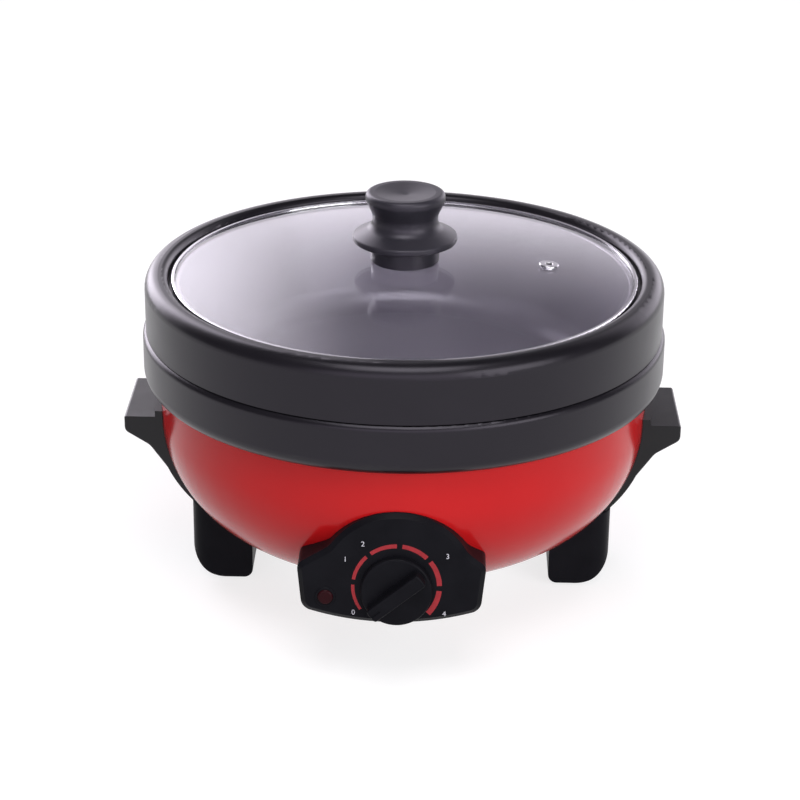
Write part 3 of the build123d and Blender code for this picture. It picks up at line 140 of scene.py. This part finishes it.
def material(name, dark, light, rough, grain=1500, bump=0.0, patch=30.0, metallic=0.0, specular=0.3,
             tint=(1, 1, 1, 1), ior=1.5, transmission=0.0, spun=False, zones=(), inner_specular=None):
    """A surface whose colour and roughness drift in soft patches, with a fine grain in its bump.

    patch and grain are the scales of the drift and of the grain, and tint is the gloss's own colour.
    zones are further pairs of tones, each with the measure and the span over which it takes over.
    inner_specular is the gloss of what lies before the last zone.
    """
    made = bpy.data.materials.new(name)
    made.use_nodes = True
    tree = made.node_tree
    shader = tree.nodes["Principled BSDF"]
    place = round_the_axis(tree) if spun else coordinates(tree, "Object")
    noise = added(tree, "ShaderNodeTexNoise", {"Vector": place, "Scale": patch, "Detail": drift_detail})
    drift = noise.outputs["Fac"]
    colour = drifting(tree, drift, dark, light)
    for measure, span, zone_dark, zone_light in zones:
        inputs = {"Factor": ranged(tree, measure(tree), span), "A": colour,
                  "B": drifting(tree, drift, zone_dark, zone_light)}
        colour = added(tree, "ShaderNodeMix", inputs, data_type="RGBA").outputs["Result"]
    fill(tree, shader, {"Base Color": colour, "Roughness": ranged(tree, drift, drift_span, rough),
                        "Metallic": metallic, "Specular IOR Level": specular, "Specular Tint": tint,
                        "IOR": ior, "Transmission Weight": transmission})
    if bump:
        fine = added(tree, "ShaderNodeTexNoise", {"Vector": place, "Scale": grain, "Detail": grain_detail})
        inputs = {"Height": fine.outputs["Fac"], "Strength": bump, "Distance": grain_depth}
        fill(tree, shader, {"Normal": added(tree, "ShaderNodeBump", inputs).outputs["Normal"]})
    if inner_specular:
        measure, span = zones[-1][:2]
        gloss = ranged(tree, measure(tree), span, (inner_specular, specular))
        fill(tree, shader, {"Specular IOR Level": gloss})
    return made


def let_lamps_through(made, colour):
    """Lamps light what lies under the glass, as they do through real glass."""
    tree = made.node_tree
    clear = added(tree, "ShaderNodeBsdfTransparent", {"Color": colour}).outputs["BSDF"]
    surface = tree.nodes["Principled BSDF"].outputs["BSDF"]
    shadow = added(tree, "ShaderNodeLightPath").outputs["Is Shadow Ray"]
    either = added(tree, "ShaderNodeMixShader", {"Fac": shadow, 1: surface, 2: clear}).outputs["Shader"]
    fill(tree, tree.nodes["Material Output"], {"Surface": either})


def wire_cover(name, dark, light):
    return material(name, dark, light, rough=(0.45, 0.55), grain=2000, bump=0.08, patch=150)


def ink(name, dark, light):
    return material(name, dark, light, rough=(0.5, 0.6), bump=0.05, patch=300)


# The pan's inside is as grey as it looks through the glass, with its wall above the floor's corner painted paler
# than the floor as painted light, and its rim is as black as the collar
pan_low, pan_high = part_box("cooking_pan")
painted_light_start = pan_low[2] + 4 * mm
painted_light_end = pan_low[2] + 14 * mm
pan_mouth = pan_high[0] - 21 * mm
mouth_edge = 0.5 * mm
turn_under = 0.1  # upward part of the normal where the underside begins to show
coat_dark = (10, 9, 13)
coat_light = (13, 12, 16)
lavender = (0.93, 0.87, 1.0, 1)
nonstick = material(
    "nonstick", (84, 80, 90), (90, 86, 96), rough=(0.29, 0.33), grain=2200, bump=0.08, patch=25,
    specular=0.36, tint=lavender, inner_specular=1.0,
    # painted light: from the floor's corner upwards the wall is paler than the floor
    zones=((height, (painted_light_start, painted_light_end), (100, 96, 106), (106, 102, 112)),
           (facing_up, (turn_under, -turn_under), (52, 51, 55), (60, 59, 63)),
           (reach_from_axis, (pan_mouth - mouth_edge, pan_mouth + mouth_edge), coat_dark, coat_light)))
collar_black = material("collar_black", coat_dark, coat_light, rough=(0.29, 0.33), grain=2600, bump=0.08,
                        patch=25, specular=0.36, tint=lavender)

glass = material("lid_glass", (250, 250, 252), (253, 253, 255), rough=(0.0, 0.005), patch=6, specular=0.5,
                 ior=1.38, transmission=1.0)
let_lamps_through(glass, (0.92, 0.92, 0.93, 1))
bright_steel = material("bright_steel", (205, 204, 208), (222, 221, 224), rough=(0.14, 0.24), grain=1800,
                        bump=0.05, patch=900, metallic=1.0, spun=True)
knob_black = material("knob_black", (34, 33, 39), (39, 38, 44), rough=(0.36, 0.42), grain=2600, bump=0.06,
                      patch=50, specular=0.42, tint=lavender)
silicone = material("silicone", (116, 116, 118), (126, 126, 128), rough=(0.5, 0.6), bump=0.1)

enamel = material("red_enamel", (194, 24, 27), (200, 28, 30), rough=(0.17, 0.22), grain=420, bump=0.05,
                  patch=14, specular=0.2)
handle_black = material("handle_black", (11, 11, 14), (14, 14, 17), rough=(0.36, 0.44), grain=3200,
                        bump=0.16, patch=40)
panel_black = material("panel_black", (17, 17, 21), (21, 21, 25), rough=(0.34, 0.42), grain=3600, bump=0.1,
                       patch=60, specular=0.05)
lens_red = material("lens_red", (36, 7, 12), (42, 9, 15), rough=(0.16, 0.22), grain=700, bump=0.05,
                    patch=200, specular=0.08)
print_red = ink("print_red", (150, 36, 43), (160, 42, 48))
print_white = ink("print_white", (196, 196, 202), (212, 212, 218))
pad_rubber = material("pad_rubber", (30, 30, 30), (38, 38, 38), rough=(0.7, 0.8), bump=0.2)
inlet_black = material("inlet_black", (24, 24, 25), (29, 29, 30), rough=(0.3, 0.38), grain=1800, bump=0.1,
                       patch=80)

screw_steel = material("screw_steel", (178, 178, 176), (196, 195, 192), rough=(0.28, 0.4), bump=0.1,
                       patch=200, metallic=1.0)
sheet_steel = material("sheet_steel", (176, 177, 178), (198, 199, 200), rough=(0.32, 0.5), grain=300,
                       bump=0.08, patch=70, metallic=1.0)
cast_aluminium = material("cast_aluminium", (136, 137, 139), (152, 152, 154), rough=(0.35, 0.5), grain=700,
                          bump=0.2, patch=80, metallic=1.0)
element_steel = material("element_steel", (92, 82, 74), (120, 106, 92), rough=(0.4, 0.55), grain=900,
                         bump=0.15, patch=90, metallic=1.0)
brass = material("brass", (198, 160, 92), (212, 176, 108), rough=(0.29, 0.38), grain=1400, bump=0.08,
                 patch=120, metallic=1.0)
lamp_glass = material("lamp_glass", (232, 214, 196), (240, 224, 208), rough=(0.1, 0.15), grain=700,
                      bump=0.02, patch=200, transmission=0.6)
phenolic = material("phenolic", (70, 42, 30), (84, 52, 38), rough=(0.45, 0.55), grain=1200, bump=0.1,
                    patch=90)
fuse_white = material("fuse_white", (214, 210, 200), (224, 221, 212), rough=(0.5, 0.6), bump=0.1, patch=120)
wire_live = wire_cover("wire_live", (104, 62, 36), (118, 72, 44))
wire_neutral = wire_cover("wire_neutral", (38, 74, 152), (48, 86, 166))
wire_earth = wire_cover("wire_earth", (66, 138, 60), (84, 152, 72))

# Each CAD node gets the finish of its slot, and the blacks that differ within a slot are told apart by node
finish = {
    "nonstick": nonstick, "collar_black": collar_black, "lid_glass": glass, "bright_steel": bright_steel,
    "silicone": silicone, "red_enamel": enamel, "handle_black": handle_black, "lens_red": lens_red,
    "pad_rubber": pad_rubber, "inlet_black": inlet_black, "screw_steel": screw_steel,
    "sheet_steel": sheet_steel, "cast_aluminium": cast_aluminium, "element_steel": element_steel,
    "brass": brass, "lamp": lamp_glass, "phenolic": phenolic, "fuse_white": fuse_white,
    "wire_live": wire_live, "wire_neutral": wire_neutral, "wire_earth": wire_earth,
}
for entry in frame["record"]["subparts"]:
    piece = nodes[entry["node"]]
    piece.data.materials.clear()
    piece.data.materials.append(finish[entry["material_slot"]])
for name in ("control_panel", "control_knob", "indicator_bezel", "foot_left", "foot_right"):
    nodes[name].data.materials[0] = panel_black
for name in ("lid_knob", "knob_base"):
    nodes[name].data.materials[0] = knob_black


def placed(origin, *axes):
    """A frame at a point, from its three axes."""
    return Matrix.Translation(origin) @ Matrix(axes).transposed().to_4x4()


# Dial print round the knob: red arcs that widen towards the hottest setting, and numbers
print_lift = 0.06 * mm
print_rise = 1.8 * mm
arc_ends = math.radians(-125), math.radians(132)
arc_radius = 27.4 * mm
arc_widths = (1.8 * mm, 3.4 * mm)
arc_count = 6
arc_gap = math.radians(7.3)
arc_steps = 12
number_places = {"0": (-26, -17.4), "1": (-31, 17), "2": (-20.5, 27), "3": (30.5, 20), "4": (29, -17.4)}
number_height = 4.6 * mm

knob_turn = next(joint for joint in frame["joints"] if joint["name"] == "knob_turn")
dial_out = -Vector(knob_turn["axis"]).normalized()
dial_right = Vector((1, 0, 0))
dial_up = dial_out.cross(dial_right)
dial_centre = Vector(knob_turn["pos_m"]) + dial_out * print_lift + dial_up * print_rise
dial_frame = placed(dial_centre, dial_right, dial_up, dial_out)


def printed(name, mesh, ink_used):
    """Print on the panel's face, from a flat mesh round the dial's centre."""
    mesh.materials.append(ink_used)
    made = bpy.data.objects.new(name, mesh)
    made.matrix_world = dial_frame
    scene.collection.objects.link(made)
    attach(made, "base")


sweep = arc_ends[1] - arc_ends[0]
arc_length = (sweep - (arc_count - 1) * arc_gap) / arc_count
for number in range(arc_count):
    shape = bmesh.new()
    edges = []
    for step in range(arc_steps + 1):
        along = number * (arc_length + arc_gap) + arc_length * step / arc_steps
        bearing = math.pi / 2 - arc_ends[0] - along
        width = arc_widths[0] + (arc_widths[1] - arc_widths[0]) * along / sweep
        edges.append([shape.verts.new((reach * math.cos(bearing), reach * math.sin(bearing), 0))
                      for reach in (arc_radius - width, arc_radius)])
    for (inner, outer), (next_inner, next_outer) in zip(edges, edges[1:]):
        shape.faces.new((inner, next_inner, next_outer, outer))
    bmesh.ops.recalc_face_normals(shape, faces=shape.faces)
    mesh = bpy.data.meshes.new(f"dial_arc_{number}")
    shape.to_mesh(mesh)
    shape.free()
    printed(f"dial_arc_{number}", mesh, print_red)
for figure, (across, above) in number_places.items():
    text = bpy.data.curves.new(f"dial_number_{figure}", "FONT")
    text.body = figure
    text.size = number_height
    text.align_x = "CENTER"
    text.align_y = "CENTER"
    drawn = bpy.data.objects.new("drawn", text)
    mesh = bpy.data.meshes.new_from_object(drawn)
    bpy.data.objects.remove(drawn)
    mesh.transform(Matrix.Translation((across * mm, above * mm, 0)))
    printed(f"dial_number_{figure}", mesh, print_white)

# Camera: solved from the ellipse of the lid's ring
azimuth = math.radians(0.93)
pitch = math.radians(23.37)
roll = math.radians(0.67)
distance = 1.518
target = Vector((0, 0, 0.11616))
level = Vector((-math.sin(azimuth), math.cos(azimuth), 0))
ahead = level * math.cos(pitch) - Vector((0, 0, math.sin(pitch)))
right = Vector((math.cos(azimuth), math.sin(azimuth), 0))
up = right.cross(ahead)
tilted_right = right * math.cos(roll) + up * math.sin(roll)
tilted_up = up * math.cos(roll) - right * math.sin(roll)
lens = bpy.data.cameras.new("camera")
lens.sensor_width = 36
lens.lens = 103.5
lens.shift_x = -0.004
lens.clip_end = 50
camera = bpy.data.objects.new("camera", lens)
scene.collection.objects.link(camera)
camera.matrix_world = placed(target - ahead * distance, tilted_right, tilted_up, -ahead)
scene.camera = camera

# Floor: pale, and lifted to white for the eye and for reflections, with the object's shadow kept
floor_half_width = 8
floor_lift = 0.75
floor_mesh = bpy.data.meshes.new("floor")
shape = bmesh.new()
bmesh.ops.create_grid(shape, x_segments=1, y_segments=1, size=floor_half_width)
shape.to_mesh(floor_mesh)
shape.free()
floor = bpy.data.objects.new("floor", floor_mesh)
scene.collection.objects.link(floor)
white = bpy.data.materials.new("floor_white")
white.use_nodes = True
floor_mesh.materials.append(white)
tree = white.node_tree
path = added(tree, "ShaderNodeLightPath")
seen = joined(tree, "MAXIMUM", path.outputs["Is Camera Ray"], path.outputs["Is Glossy Ray"],
              path.outputs["Is Transmission Ray"])
fill(tree, tree.nodes["Principled BSDF"], {
    "Base Color": (0.32, 0.32, 0.323, 1), "Roughness": 0.9, "Specular IOR Level": 0.1,
    "Emission Color": (1, 1, 1, 1), "Emission Strength": joined(tree, "MULTIPLY", seen, floor_lift)})

# World: a studio whose walls glow, most at the back left, under a dim ceiling
world = bpy.data.worlds.new("studio")
scene.world = world
world.use_nodes = True
sky = world.node_tree
way = added(sky, "ShaderNodeSeparateXYZ", {"Vector": coordinates(sky, "Generated")})


def fade(axis, span, glow):
    """A soft change of brightness over a span of directions along one axis."""
    return ranged(sky, way.outputs[axis], span, glow, interpolation_type="SMOOTHSTEP")


def wall(*fades):
    return joined(sky, "MULTIPLY", *fades)


low_wall = wall(fade("Y", (0.3, 0.8), (0.0, 1.0)), fade("Z", (0.1, 0.5), (1.35, 0.0)))
left_wall = wall(fade("X", (-0.28, -0.03), (4.7, 0.0)), fade("Y", (0.5, 0.72), (0.0, 1.0)),
                 fade("Z", (0.05, 0.5), (0.05, 1.0)), fade("Z", (0.62, 0.9), (1.0, 0.0)))
far_left = wall(fade("X", (-0.44, -0.28), (5.0, 0.0)), fade("Y", (0.5, 0.8), (0.0, 1.0)),
                fade("Z", (0.3, 0.7), (1.0, 0.0)))
right_wall = wall(fade("X", (0.14, 0.42), (0.0, 1.8)), fade("Y", (0.3, 0.7), (0.0, 1.0)),
                  fade("Z", (0.4, 0.8), (1.0, 0.0)))
front_wall = wall(fade("Y", (-0.95, -0.65), (1.8, 0.0)), fade("Z", (0.4, 0.7), (1.0, 0.0)))
all_round = fade("Y", (-0.3, 0.4), (0.3, 0.1))
brightness = joined(sky, "ADD", low_wall, front_wall, left_wall, far_left, right_wall, all_round)
fill(sky, sky.nodes["Background"], {"Color": (0.96, 0.91, 1.0, 1), "Strength": brightness})


# Lamps

def softbox(name, place, aim, size, power):
    """A large soft lamp that shines from a place towards an aim."""
    data = bpy.data.lights.new(name, "AREA")
    data.shape = "RECTANGLE"
    data.size, data.size_y = size
    data.energy = power
    lamp = bpy.data.objects.new(name, data)
    scene.collection.objects.link(lamp)
    lamp.location = place
    lamp.rotation_euler = (Vector(aim) - Vector(place)).to_track_quat("-Z", "Y").to_euler()


softbox("key_right", place=(1.7, -1.6, 1.0), aim=(0, 0, 0.1), size=(1.5, 1.4), power=26)
softbox("overhead", place=(0, -0.65, 1.6), aim=(0, 0, 0.15), size=(1.0, 0.9), power=14)
